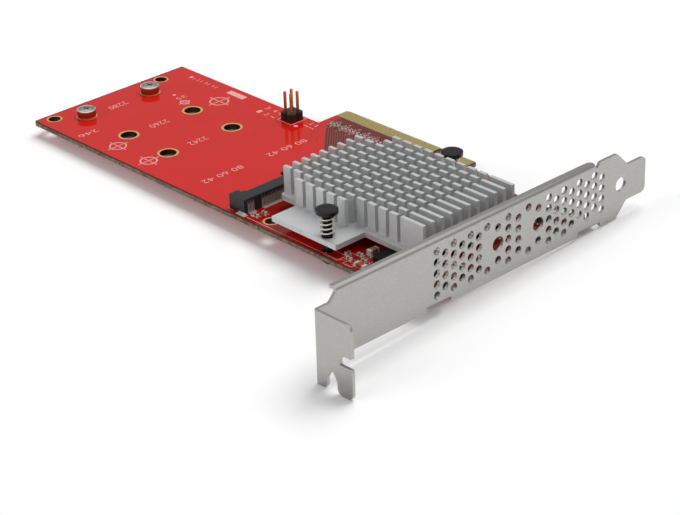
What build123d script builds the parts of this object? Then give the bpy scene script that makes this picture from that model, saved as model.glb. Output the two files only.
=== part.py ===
from build123d import *
import os

os.makedirs("parts", exist_ok=True)

# Frame, in millimetres: the origin is the key notch's centre on the finger-tip edge, on the
# component face. +X runs along the board to the bracket, +Y out of the finger tips, +Z off the
# component face.

# Widest rounding error that still counts as the same place when edges are picked
rounding = 0.001

# Board and edge connector
board_length = 158.5
board_width = 68.9
board_thickness = 1.6
key_to_far_end = 102.2
far_shoulder = 12.4
bracket_shoulder = 4.4
shoulder_step_x = 26.0
shoulder_step_y = 8.1
lug_land = 9.0
tongue_far_half = 39.6
tongue_near_half = 12.6
key_width = 1.9
key_depth = 4.45
bevel_length = 1.2
bevel_depth = 0.4
tongue_corner = 0.5
contact_pitch = 1.0
contact_width = 0.7
contact_length = 3.9
contact_key_offset = 1.5
contacts_near_key = 11
contacts_far_key = 38
short_contact_cut = 1.0
short_contacts_top = (17, 31, 48)
short_contacts_bottom = (1,)
plating = 0.06

# Plated holes
standoff_hole = 4.9
standoff_pad = 6.3
corner_hole = 3.6
corner_pad = 4.7
barrel_wall = 0.15
corner_inset_x = 3.35
corner_inset_near = 4.62
corner_inset_far = 11.23
side_hole_x = -1.5
side_hole_inset = 3.9
push_pin_hole = 3.2

# Drives: where their contact ends stop, and their lengths
drive_end_x = -13.59
drive_lengths = (80.0, 60.0, 42.0)

# Drive sockets
socket_length = 6.15
socket_width = 21.9
socket_gap = 2.25
socket_edge_gap = 1.68
socket_height = 4.2
socket_front = 2.4
socket_roof = 0.5
roof_cut_width = 15.5
roof_cut_depth = 2.2
socket_chamfer = 0.2
slot_width = 20.0
slot_bottom = 2.35
slot_height = 1.1
slot_lead = 0.4
slot_end_clearance = 0.2
drive_key_offset = 6.125
drive_key_width = 1.1
socket_pitch = 0.5
socket_contacts_long = 29
socket_contacts_short = 5
socket_groove = 0.28
socket_contact_width = 0.2
socket_contact_thick = 0.15
socket_tail = 0.7
anchor_length = 3.0
anchor_reach = 0.9
anchor_height = 0.5
anchor_thick = 0.2
anchor_inset = 0.7

# Standoffs and their screws
standoff_diameter = 5.7
standoff_height = 2.5
standoff_chamfer = 0.25
standoff_shank = 4.5
standoff_counterbore = 4.1
standoff_counterbore_depth = 0.9
standoff_bore = 2.1
drive_screw_head = 3.9
drive_screw_shank = 2.0
drive_screw_rise = 0.1
recess_length = 2.2
recess_width = 0.5
recess_depth = 0.55

# Four-pin header
header_x = -47.15
header_y = -16.05
header_pitch = 2.54
header_base_height = 2.54
header_notch = 0.75
header_pin = 0.64
header_top = 9.0
header_below = 1.4
header_tip = 0.2
header_hole = 1.0

# Heatsink
sink_underside = 2.7
sink_base = 1.5
sink_top = 12.1
sink_far_x = -5.9
sink_bracket_x = 47.6
sink_near_y = -57.8
sink_back_y = -20.9
sink_cut_x = 1.8
sink_cut_y = -27.9
sink_corner = 1.5
ear_reach = 10.5
near_ear_x = (2.6, 27.3)
far_ear_reach = 5.0
far_ear_x = (16.8, 39.8)
fin_thickness = 1.1
fin_row_pitch = 3.3
fin_rows = 11
fin_length = 2.8
fin_pitch = 4.06
fin_columns = 11
fin_inset_x = 0.2
fin_inset_y = 1.55
plate_fin_length = 8.2
cut_rows = 2
cut_columns = 2
ear_fins = 5

# Push pins and their springs
push_near_x = 21.75
push_near_y = -65.87
push_far_x = 20.9
push_far_y = -18.6
push_head = 6.1
push_head_rim = 1.05
push_head_top = 12.3
push_dome = 0.25
push_face = 4.8
push_dimple = 2.4
push_dimple_depth = 0.3
push_stem = 2.6
push_barb = 3.7
push_barb_height = 1.1
push_tip = 1.6
push_tip_height = 1.1
push_slit = 0.6
ear_hole = 3.4
spring_diameter = 4.1
spring_wire = 0.5
spring_turns = 4.75

# Bridge chip and thermal pad
chip_x = 21.8
chip_y = -42.4
chip_size = 21.0
chip_height = 2.0
chip_edge = 0.4
pad_size = 18.0

# Bracket
sheet = 0.86
sheet_bend = 1.2
board_to_bracket = 3.01
bracket_bottom = -3.0
bracket_top = 16.1
lip_width = 2.4
lip_start_y = -98.7
lip_end_y = -4.9
lip_corner = 1.4
tab_outer_y = -105.35
end_top = 12.7
end_slope = 2.1
lug_near_y = -64.4
lug_pitch = 56.85
lug_width = 8.0
lug_beyond_hole = 3.6
lug_side_slope = 1.0
nick_width = 0.9
nick_height = 0.7
lobe_y = (-3.1, 3.75)
vee_y = -4.1
vee_bottom = 14.7
tongue_end_y = 15.6
tongue_width = 10.4
tongue_centre_z = 6.4
tongue_radius = 1.6
lobe_corner = 1.0
tongue_hole_z = 6.6
tongue_hole = 4.1
tongue_hole_y = 5.46
window_diameter = 4.0
window_y = -42.4
window_pitch = 15.16
window_z = 6.68
perf_diameter = 2.2
perf_low_z = 0.5
perf_row_pitch = 3.1
perf_tall = 5
perf_near_y = -64.6
perf_near_pitch = 3.03
perf_near_columns = 7
perf_far_y = -23.2
perf_far_pitch = 2.985
perf_far_columns = 8
tab_length = 12.9
tab_foot = -7.6
tab_corner = 2.0
foot_radius = 1.8
tab_bend = 0.8
tab_notch = 4.1
tab_notch_z = (0.9, 3.7)
tab_notch_cut = 1.15
screw_slot_x = 4.1
screw_slot_width = 3.5
screw_slot_apex = -1.9
screw_slot_spring = -4.6
bracket_hole_inset = 3.8
bracket_hole = 3.2
bracket_thread = 2.9
bracket_screw_head = 5.6
bracket_screw_head_height = 1.9
bracket_screw_dome = 0.5
bracket_screw_below = 0.8

# Small parts on the board: length, width and height of each size, then places and turns. The
# places named as at the end give the distance from the board's bracket end instead of X.
terminal_share = 0.22
terminal_round = 0.1
coupling_size = (1.0, 0.55, 0.5)
coupling_count = 16
coupling_x = -36.2
coupling_y = -10.2
coupling_pitch = 1.6
small_part_size = (1.6, 0.8, 0.7)
small_part_places = [
    (29.5, -65.7, 0),
    (30.0, -62.2, 0),
    (27.0, -63.9, 90),
    (33.2, -63.9, 0),
    (38.6, -66.4, 0),
    (42.4, -66.4, 0),
    (45.6, -66.4, 90),
    (44.3, -62.6, 90),
    (46.5, -62.6, 90),
    (-6.3, -63.2, 0),
    (-6.9, -65.6, 0),
]
small_parts_at_end = [(7.4, -49.5, 0), (4.5, -49.5, 0), (7.4, -30.0, 0), (4.5, -30.0, 0)]
bulk_size = (3.2, 1.6, 1.6)
bulk_places = [(31.8, -59.3, 90)]
bulk_at_end = [(2.1, -56.0, 90), (2.1, -51.5, 90)]
fuse_size = (3.6, 1.6, 0.8)
fuse_places = [(34.4, -66.3, 0)]
inductor_size = 6.6
inductor_height = 2.4
inductor_corner = 1.0
inductor_place = (38.7, -60.5)
regulator_size = (5.0, 4.0, 1.0)
regulator_at_end = (6.7, -55.0)
memory_size = (5.2, 4.0, 1.6)
memory_at_end = (5.8, -14.5)
lead_width = 0.4
lead_reach = 0.9
lead_thick = 0.2
lead_pitch = 1.27
crystal_size = (3.2, 2.5, 0.8)
crystal_at_end = (4.7, -24.0)
led_size = (2.0, 1.25, 1.1)
led_lens = 0.8
led_setback = 0.6

# Places worked out from the sizes above
board_far_x = -key_to_far_end
board_near_x = board_far_x + board_length
board_near_y = -board_width
board_bottom = -board_thickness
near_row_y = board_near_y + socket_edge_gap + socket_width / 2
drive_rows = [near_row_y, near_row_y + socket_width + socket_gap]
standoff_columns = [drive_end_x - length for length in drive_lengths]
standoff_places = [(x, y) for x in standoff_columns for y in drive_rows]
occupied_places = [(standoff_columns[0], y) for y in drive_rows]
corner_places = [
    (board_far_x + corner_inset_x, board_near_y + corner_inset_near),
    (board_far_x + corner_inset_x, -far_shoulder - corner_inset_far),
    (side_hole_x, board_near_y + side_hole_inset),
]
push_places = {"near": (push_near_x, push_near_y), "far": (push_far_x, push_far_y)}
bracket_inner_x = board_near_x + board_to_bracket
bracket_outer_x = bracket_inner_x + sheet
bracket_hole_x = board_near_x - bracket_hole_inset
lug_rows = [lug_near_y, lug_near_y + lug_pitch]
bracket_screw_places = [(bracket_hole_x, y) for y in lug_rows]
lug_bottom = board_bottom - sheet
header_places = [
    (header_x + i * header_pitch, header_y + j * header_pitch) for i in (-0.5, 0.5) for j in (-0.5, 0.5)
]
sink_face = sink_underside + sink_base
fin_height = sink_top - sink_face
fin_first_x = sink_far_x + fin_inset_x
fin_first_y = sink_near_y + fin_inset_y + fin_thickness / 2



def edges_at(edges, axis, place):
    return edges.filter_by_position(axis, place - rounding, place + rounding)


# Circuit board
with BuildPart() as pcb:
    with BuildSketch(Plane.XY.offset(board_bottom)):
        with BuildLine():
            Polyline(
                (board_far_x, board_near_y),
                (board_near_x, board_near_y),
                (board_near_x, -bracket_shoulder),
                (board_near_x - lug_land, -bracket_shoulder),
                (board_near_x - lug_land, -shoulder_step_y),
                (shoulder_step_x, -shoulder_step_y),
                (shoulder_step_x, -bracket_shoulder),
                (tongue_near_half, -bracket_shoulder),
                (tongue_near_half, 0),
                (-tongue_far_half, 0),
                (-tongue_far_half, -far_shoulder),
                (board_far_x, -far_shoulder),
                close=True,
            )
        make_face()
        with Locations((0, -key_depth / 2)):
            Rectangle(key_width, key_depth, mode=Mode.SUBTRACT)
        with Locations(*standoff_places):
            Circle(standoff_hole / 2 + barrel_wall, mode=Mode.SUBTRACT)
        with Locations(*corner_places):
            Circle(corner_hole / 2 + barrel_wall, mode=Mode.SUBTRACT)
        with Locations(*push_places.values()):
            Circle(push_pin_hole / 2, mode=Mode.SUBTRACT)
        with Locations(*header_places):
            Circle(header_hole / 2, mode=Mode.SUBTRACT)
        with Locations(*bracket_screw_places):
            Circle(bracket_hole / 2, mode=Mode.SUBTRACT)
    extrude(amount=board_thickness)
    tips = pcb.faces().filter_by(Axis.Y).sort_by(Axis.Y)[-2:]
    tongue_ends = ShapeList([edge for face in tips for edge in face.edges().filter_by(Axis.Z)])
    outer_ends = tongue_ends.sort_by(Axis.X)
    chamfer([outer_ends[0], outer_ends[-1]], tongue_corner)
    with BuildSketch(Plane.YZ.offset(-tongue_far_half)):
        for face_z, inward in ((0, -bevel_depth), (board_bottom, bevel_depth)):
            with BuildLine():
                Polyline((0, face_z), (-bevel_length, face_z), (0, face_z + inward), close=True)
            make_face()
    extrude(amount=tongue_far_half + tongue_near_half, mode=Mode.SUBTRACT)
pcb.part.label = "pcb"
export_step(pcb.part, "parts/pcb.step")

# Gold contacts on both faces of the tongue, numbered from the bracket end
contact_back_y = -bevel_length - contact_length
for side, face_z, short_ones in (
    ("top", 0, short_contacts_top),
    ("bottom", board_bottom - plating, short_contacts_bottom),
):
    with BuildPart() as contacts:
        with BuildSketch(Plane.XY.offset(face_z)):
            for number in range(1, contacts_near_key + contacts_far_key + 1):
                if number <= contacts_near_key:
                    x = contact_key_offset + (contacts_near_key - number) * contact_pitch
                else:
                    x = -contact_key_offset - (number - contacts_near_key - 1) * contact_pitch
                cut = short_contact_cut if number in short_ones else 0
                with Locations((x, contact_back_y)):
                    Rectangle(contact_width, contact_length - cut, align=(Align.CENTER, Align.MIN))
        extrude(amount=plating)
    contacts.part.label = f"edge_contacts_{side}"
    export_step(contacts.part, f"parts/edge_contacts_{side}.step")

# Plated holes: a pad on each face joined by a barrel through the board
for name, hole, pad, places in (
    ("standoff_hole_plating", standoff_hole, standoff_pad, standoff_places),
    ("corner_hole_plating", corner_hole, corner_pad, corner_places),
):
    with BuildPart() as plating_ring:
        with BuildSketch(Plane.XZ):
            with BuildLine():
                Polyline(
                    (hole / 2, plating),
                    (pad / 2, plating),
                    (pad / 2, 0),
                    (hole / 2 + barrel_wall, 0),
                    (hole / 2 + barrel_wall, board_bottom),
                    (pad / 2, board_bottom),
                    (pad / 2, board_bottom - plating),
                    (hole / 2, board_bottom - plating),
                    close=True,
                )
            make_face()
        revolve(axis=Axis.Z)
    with BuildPart() as plated_holes:
        with Locations(*places):
            add(plating_ring.part)
    plated_holes.part.label = name
    export_step(plated_holes.part, f"parts/{name}.step")

# Drive sockets: the mouth faces the far end, the contacts leave at the bracket side
socket_front_x = drive_end_x - socket_front
socket_back_x = socket_front_x + socket_length
slot_top = slot_bottom + slot_height
slot_depth = socket_front + slot_end_clearance
groove_top = socket_height - socket_roof
first_contact_offset = -socket_width / 2 + (socket_width - slot_width) / 2 + socket_pitch
contact_offsets = [first_contact_offset + i * socket_pitch for i in range(socket_contacts_short)]
long_end_offset = -first_contact_offset
contact_offsets += [long_end_offset - i * socket_pitch for i in range(socket_contacts_long)]
key_y = -drive_key_offset
for end, row_y in zip(("near", "far"), drive_rows):
    with BuildPart() as socket:
        with Locations((socket_front_x, row_y, 0)):
            Box(socket_length, socket_width, socket_height, align=(Align.MIN, Align.CENTER, Align.MIN))
        with Locations((socket_front_x, row_y, slot_top)):
            Box(
                roof_cut_depth,
                roof_cut_width,
                socket_height,
                align=(Align.MIN, Align.CENTER, Align.MIN),
                mode=Mode.SUBTRACT,
            )
        with Locations((socket_front_x, row_y, slot_bottom)):
            Box(
                slot_depth,
                slot_width,
                slot_height,
                align=(Align.MIN, Align.CENTER, Align.MIN),
                mode=Mode.SUBTRACT,
            )
        with BuildSketch(Plane.XZ.offset(-row_y - slot_width / 2)):
            with BuildLine():
                Polyline(
                    (socket_front_x, slot_bottom - slot_lead),
                    (socket_front_x + slot_lead, slot_bottom),
                    (socket_front_x + slot_lead, slot_top),
                    (socket_front_x, slot_top + slot_lead),
                    close=True,
                )
            make_face()
        extrude(amount=slot_width, mode=Mode.SUBTRACT)
        with Locations((socket_front_x + slot_lead, row_y + key_y, slot_bottom)):
            Box(
                slot_depth - slot_lead,
                drive_key_width,
                slot_height,
                align=(Align.MIN, Align.CENTER, Align.MIN),
            )
        with Locations(*[(socket_back_x, row_y + offset, 0) for offset in contact_offsets]):
            Box(
                socket_length - slot_depth,
                socket_groove,
                groove_top,
                align=(Align.MAX, Align.CENTER, Align.MIN),
                mode=Mode.SUBTRACT,
            )
        top_edges = socket.edges().filter_by(Axis.Y).group_by(Axis.Z)[-1]
        chamfer(top_edges.group_by(Axis.X)[-1], socket_chamfer)
    socket.part.label = f"drive_socket_{end}"
    export_step(socket.part, f"parts/drive_socket_{end}.step")

    with BuildPart() as socket_contacts:
        with BuildSketch(Plane.XZ.offset(-row_y - socket_contact_width / 2)):
            with BuildLine():
                Polyline(
                    (socket_back_x + socket_tail, 0),
                    (socket_back_x + socket_tail, socket_contact_thick),
                    (socket_back_x - socket_contact_thick, socket_contact_thick),
                    (socket_back_x - socket_contact_thick, slot_top),
                    (socket_front_x + slot_depth, slot_top),
                    (drive_end_x, slot_top - socket_contact_thick),
                    (drive_end_x, slot_top - 2 * socket_contact_thick),
                    (socket_front_x + slot_depth, slot_top - socket_contact_thick),
                    (socket_back_x - 2 * socket_contact_thick, slot_top - socket_contact_thick),
                    (socket_back_x - 2 * socket_contact_thick, 0),
                    close=True,
                )
            make_face()
        one_contact = extrude(amount=socket_contact_width, mode=Mode.PRIVATE)
        with Locations(*[(0, offset, 0) for offset in contact_offsets]):
            add(one_contact)
    socket_contacts.part.label = f"socket_contacts_{end}"
    export_step(socket_contacts.part, f"parts/socket_contacts_{end}.step")

# Solder anchors at the ends of each socket
anchor_x = socket_back_x - anchor_inset
with BuildPart() as socket_anchors:
    for row_y in drive_rows:
        for side in (-1, 1):
            cheek_y = row_y + side * socket_width / 2
            with Locations((anchor_x, cheek_y + side * anchor_reach / 2, 0)):
                Box(
                    anchor_length,
                    anchor_reach,
                    anchor_thick,
                    align=(Align.CENTER, Align.CENTER, Align.MIN),
                )
            with Locations((anchor_x, cheek_y + side * anchor_thick / 2, 0)):
                Box(
                    anchor_length,
                    anchor_thick,
                    anchor_height,
                    align=(Align.CENTER, Align.CENTER, Align.MIN),
                )
socket_anchors.part.label = "socket_anchors"
export_step(socket_anchors.part, "parts/socket_anchors.step")

# Standoffs: a turned post on the outermost pair of plated holes, its shank in the hole
with BuildPart() as one_standoff:
    with BuildSketch(Plane.XZ):
        with BuildLine():
            Polyline(
                (standoff_bore / 2, board_bottom),
                (standoff_shank / 2, board_bottom),
                (standoff_shank / 2, plating),
                (standoff_diameter / 2, plating),
                (standoff_diameter / 2, standoff_height - standoff_chamfer),
                (standoff_diameter / 2 - standoff_chamfer, standoff_height),
                (standoff_counterbore / 2, standoff_height),
                (standoff_counterbore / 2, standoff_height - standoff_counterbore_depth),
                (standoff_bore / 2, standoff_height - standoff_counterbore_depth),
                close=True,
            )
        make_face()
    revolve(axis=Axis.Z)
with BuildPart() as standoffs:
    with Locations(*occupied_places):
        add(one_standoff.part)
standoffs.part.label = "standoffs"
export_step(standoffs.part, "parts/standoffs.step")

# Drive screws: a low domed head with a cross recess, sunk in each standoff
screw_seat = standoff_height - standoff_counterbore_depth
screw_top = standoff_height + drive_screw_rise
with BuildPart() as one_drive_screw:
    with BuildSketch(Plane.XZ):
        with BuildLine():
            Polyline(
                (0, screw_top),
                (0, board_bottom),
                (drive_screw_shank / 2, board_bottom),
                (drive_screw_shank / 2, screw_seat),
                (drive_screw_head / 2, screw_seat),
                (drive_screw_head / 2, standoff_height - drive_screw_rise),
            )
            ThreePointArc(
                (drive_screw_head / 2, standoff_height - drive_screw_rise),
                (drive_screw_head / 4, screw_top - drive_screw_rise / 2),
                (0, screw_top),
            )
        make_face()
    revolve(axis=Axis.Z)
    with BuildSketch(Plane.XY.offset(screw_top)):
        Rectangle(recess_length, recess_width)
        Rectangle(recess_width, recess_length)
    extrude(amount=-recess_depth, mode=Mode.SUBTRACT)
with BuildPart() as drive_screws:
    with Locations(*occupied_places):
        add(one_drive_screw.part)
drive_screws.part.label = "drive_screws"
export_step(drive_screws.part, "parts/drive_screws.step")

# Four-pin header
header_side = 2 * header_pitch
with BuildPart() as header_base:
    with BuildSketch(Plane.XY):
        with Locations((header_x, header_y)):
            Rectangle(header_side, header_side)
            with Locations(
                (-header_pitch, 0),
                (header_pitch, 0),
                (0, -header_pitch),
                (0, header_pitch),
            ):
                Rectangle(header_notch, header_notch, rotation=45, mode=Mode.SUBTRACT)
            with GridLocations(header_side, header_side, 2, 2):
                Rectangle(header_notch, header_notch, rotation=45, mode=Mode.SUBTRACT)
        with Locations(*header_places):
            Rectangle(header_pin, header_pin, mode=Mode.SUBTRACT)
    extrude(amount=header_base_height)
header_base.part.label = "pin_header_base"
export_step(header_base.part, "parts/pin_header_base.step")

header_pin_length = header_top - board_bottom + header_below
with BuildPart() as header_pins:
    with Locations(*[(x, y, board_bottom - header_below) for x, y in header_places]):
        Box(header_pin, header_pin, header_pin_length, align=(Align.CENTER, Align.CENTER, Align.MIN))
    ends = header_pins.edges().filter_by(Axis.Z, reverse=True)
    chamfer(ends, header_tip)
header_pins.part.label = "pin_header_pins"
export_step(header_pins.part, "parts/pin_header_pins.step")

# Heatsink: a base with two ears, rows of short fins, and plates at the bracket end
with BuildPart() as heatsink:
    with BuildSketch(Plane.XY.offset(sink_underside)):
        with BuildLine():
            Polyline(
                (sink_far_x, sink_near_y),
                (near_ear_x[0], sink_near_y),
                (near_ear_x[0], sink_near_y - ear_reach),
                (near_ear_x[1], sink_near_y - ear_reach),
                (near_ear_x[1], sink_near_y),
                (sink_bracket_x, sink_near_y),
                (sink_bracket_x, sink_back_y),
                (far_ear_x[1], sink_back_y),
                (far_ear_x[1], sink_back_y + far_ear_reach),
                (far_ear_x[0], sink_back_y + far_ear_reach),
                (far_ear_x[0], sink_back_y),
                (sink_cut_x, sink_back_y),
                (sink_cut_x, sink_cut_y),
                (sink_far_x, sink_cut_y),
                close=True,
            )
        make_face()
        with Locations(*push_places.values()):
            Circle(ear_hole / 2, mode=Mode.SUBTRACT)
    extrude(amount=sink_base)
    base_corners = heatsink.edges().filter_by(Axis.Z)
    fillet(edges_at(base_corners, Axis.X, sink_far_x), sink_corner)
    fillet(edges_at(base_corners, Axis.X, sink_bracket_x), sink_corner)
    with BuildSketch(Plane.XY.offset(sink_face)):
        for row in range(fin_rows):
            fin_y = fin_first_y + row * fin_row_pitch
            first_column = cut_columns if row >= fin_rows - cut_rows else 0
            for column in range(first_column, fin_columns):
                with Locations((fin_first_x + column * fin_pitch, fin_y)):
                    Rectangle(fin_length, fin_thickness, align=(Align.MIN, Align.CENTER))
            with Locations((fin_first_x + fin_columns * fin_pitch, fin_y)):
                Rectangle(plate_fin_length, fin_thickness, align=(Align.MIN, Align.CENTER))
        for column in range(ear_fins):
            ear_fin_x = near_ear_x[0] + column * fin_pitch
            with Locations((ear_fin_x, fin_first_y - fin_row_pitch)):
                Rectangle(fin_length, fin_thickness, align=(Align.MIN, Align.CENTER))
    extrude(amount=fin_height)
heatsink.part.label = "heatsink"
export_step(heatsink.part, "parts/heatsink.step")

# Push pins: a domed head, a stem through ear and board, and a split barb under the board
barb_bottom = board_bottom - push_barb_height
push_rim_bottom = push_head_top - push_dome - push_head_rim
dimple_radius = ((push_dimple / 2) ** 2 + push_dimple_depth**2) / (2 * push_dimple_depth)
with BuildPart() as push_pin:
    with BuildSketch(Plane.XZ):
        with BuildLine():
            Polyline(
                (0, push_head_top - push_dimple_depth),
                (0, barb_bottom - push_tip_height),
                (push_tip / 2, barb_bottom - push_tip_height),
                (push_barb / 2, barb_bottom),
                (push_barb / 2, board_bottom),
                (push_stem / 2, board_bottom),
                (push_stem / 2, push_rim_bottom),
                (push_head / 2, push_rim_bottom),
                (push_head / 2, push_rim_bottom + push_head_rim),
                (push_face / 2, push_head_top),
                (push_dimple / 2, push_head_top),
            )
            RadiusArc(
                (push_dimple / 2, push_head_top),
                (0, push_head_top - push_dimple_depth),
                dimple_radius,
            )
        make_face()
    revolve(axis=Axis.Z)
    with Locations((0, 0, barb_bottom - push_tip_height)):
        Box(
            push_barb,
            push_slit,
            push_barb_height + push_tip_height,
            align=(Align.CENTER, Align.CENTER, Align.MIN),
            mode=Mode.SUBTRACT,
        )
for end, place in push_places.items():
    placed_pin = push_pin.part.moved(Location((place[0], place[1], 0)))
    placed_pin.label = f"push_pin_{end}"
    export_step(placed_pin, f"parts/push_pin_{end}.step")

# Springs under the push pins' heads, standing on the ears
spring_bottom = sink_face + spring_wire / 2
spring_top = push_rim_bottom - spring_wire / 2
spring_rise = spring_top - spring_bottom
spring_radius = (spring_diameter - spring_wire) / 2
with BuildPart() as spring:
    with BuildLine():
        coil = Helix(pitch=spring_rise / spring_turns, height=spring_rise, radius=spring_radius)
    with BuildSketch(Plane(origin=coil @ 0, z_dir=coil % 0)):
        Circle(spring_wire / 2)
    sweep(is_frenet=True)
for end, place in push_places.items():
    placed_spring = spring.part.moved(Location((place[0], place[1], spring_bottom)))
    placed_spring.label = f"push_pin_spring_{end}"
    export_step(placed_spring, f"parts/push_pin_spring_{end}.step")

# Bridge chip and the thermal pad between it and the heatsink
with BuildPart() as bridge_chip:
    with Locations((chip_x, chip_y, 0)):
        Box(chip_size, chip_size, chip_height, align=(Align.CENTER, Align.CENTER, Align.MIN))
    chamfer(bridge_chip.edges().group_by(Axis.Z)[-1], chip_edge)
bridge_chip.part.label = "bridge_chip"
export_step(bridge_chip.part, "parts/bridge_chip.step")

with BuildPart() as thermal_pad:
    with Locations((chip_x, chip_y, chip_height)):
        Box(
            pad_size,
            pad_size,
            sink_underside - chip_height,
            align=(Align.CENTER, Align.CENTER, Align.MIN),
        )
thermal_pad.part.label = "thermal_pad"
export_step(thermal_pad.part, "parts/thermal_pad.step")

# Bracket: one folded sheet with a lip, two lugs under the board, a tongue and a screw tab
lug_sides = [(y - lug_width / 2, y + lug_width / 2) for y in lug_rows]
nick_top = lug_bottom + nick_height
tongue_low = tongue_centre_z - tongue_width / 2
tongue_high = tongue_centre_z + tongue_width / 2
lug_outline = []
for lug_start, lug_end in lug_sides:
    lug_outline += [
        (lug_start - lug_side_slope, bracket_bottom),
        (lug_start, lug_bottom),
        (lug_start, lug_bottom + sheet_bend),
        (lug_end, lug_bottom + sheet_bend),
        (lug_end, nick_top),
        (lug_end + nick_width, nick_top),
        (lug_end + nick_width, bracket_bottom),
    ]

# Cooling holes: columns of five and of four by turns, fewer beside the two light windows
perforations = []


def add_column(y, tall, first, last):
    low_z = perf_low_z if tall else perf_low_z + perf_row_pitch / 2
    for row in range(first, last):
        perforations.append((y, low_z + row * perf_row_pitch))


for column in range(perf_near_columns - 1):
    tall = column % 2 == 0
    add_column(perf_near_y + column * perf_near_pitch, tall, 0, perf_tall if tall else perf_tall - 1)
last_near_y = perf_near_y + (perf_near_columns - 1) * perf_near_pitch
add_column(last_near_y, True, 0, 1)
add_column(last_near_y, True, perf_tall - 1, perf_tall)
window_quarter = window_pitch / 4
for window in (window_y, window_y + window_pitch):
    add_column(window, False, 0, 1)
    add_column(window, False, perf_tall - 2, perf_tall - 1)
add_column(window_y + window_quarter, True, 0, perf_tall)
add_column(window_y + 2 * window_quarter, False, 0, perf_tall - 1)
add_column(window_y + 3 * window_quarter, True, 0, 1)
add_column(window_y + 3 * window_quarter, True, perf_tall - 1, perf_tall)
for column in range(perf_far_columns):
    tall = column % 2 == 0
    above_lug = tall and column >= perf_far_columns // 2
    first = 1 if above_lug else 0
    add_column(perf_far_y + column * perf_far_pitch, tall, first, perf_tall if tall else perf_tall - 1)

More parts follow.
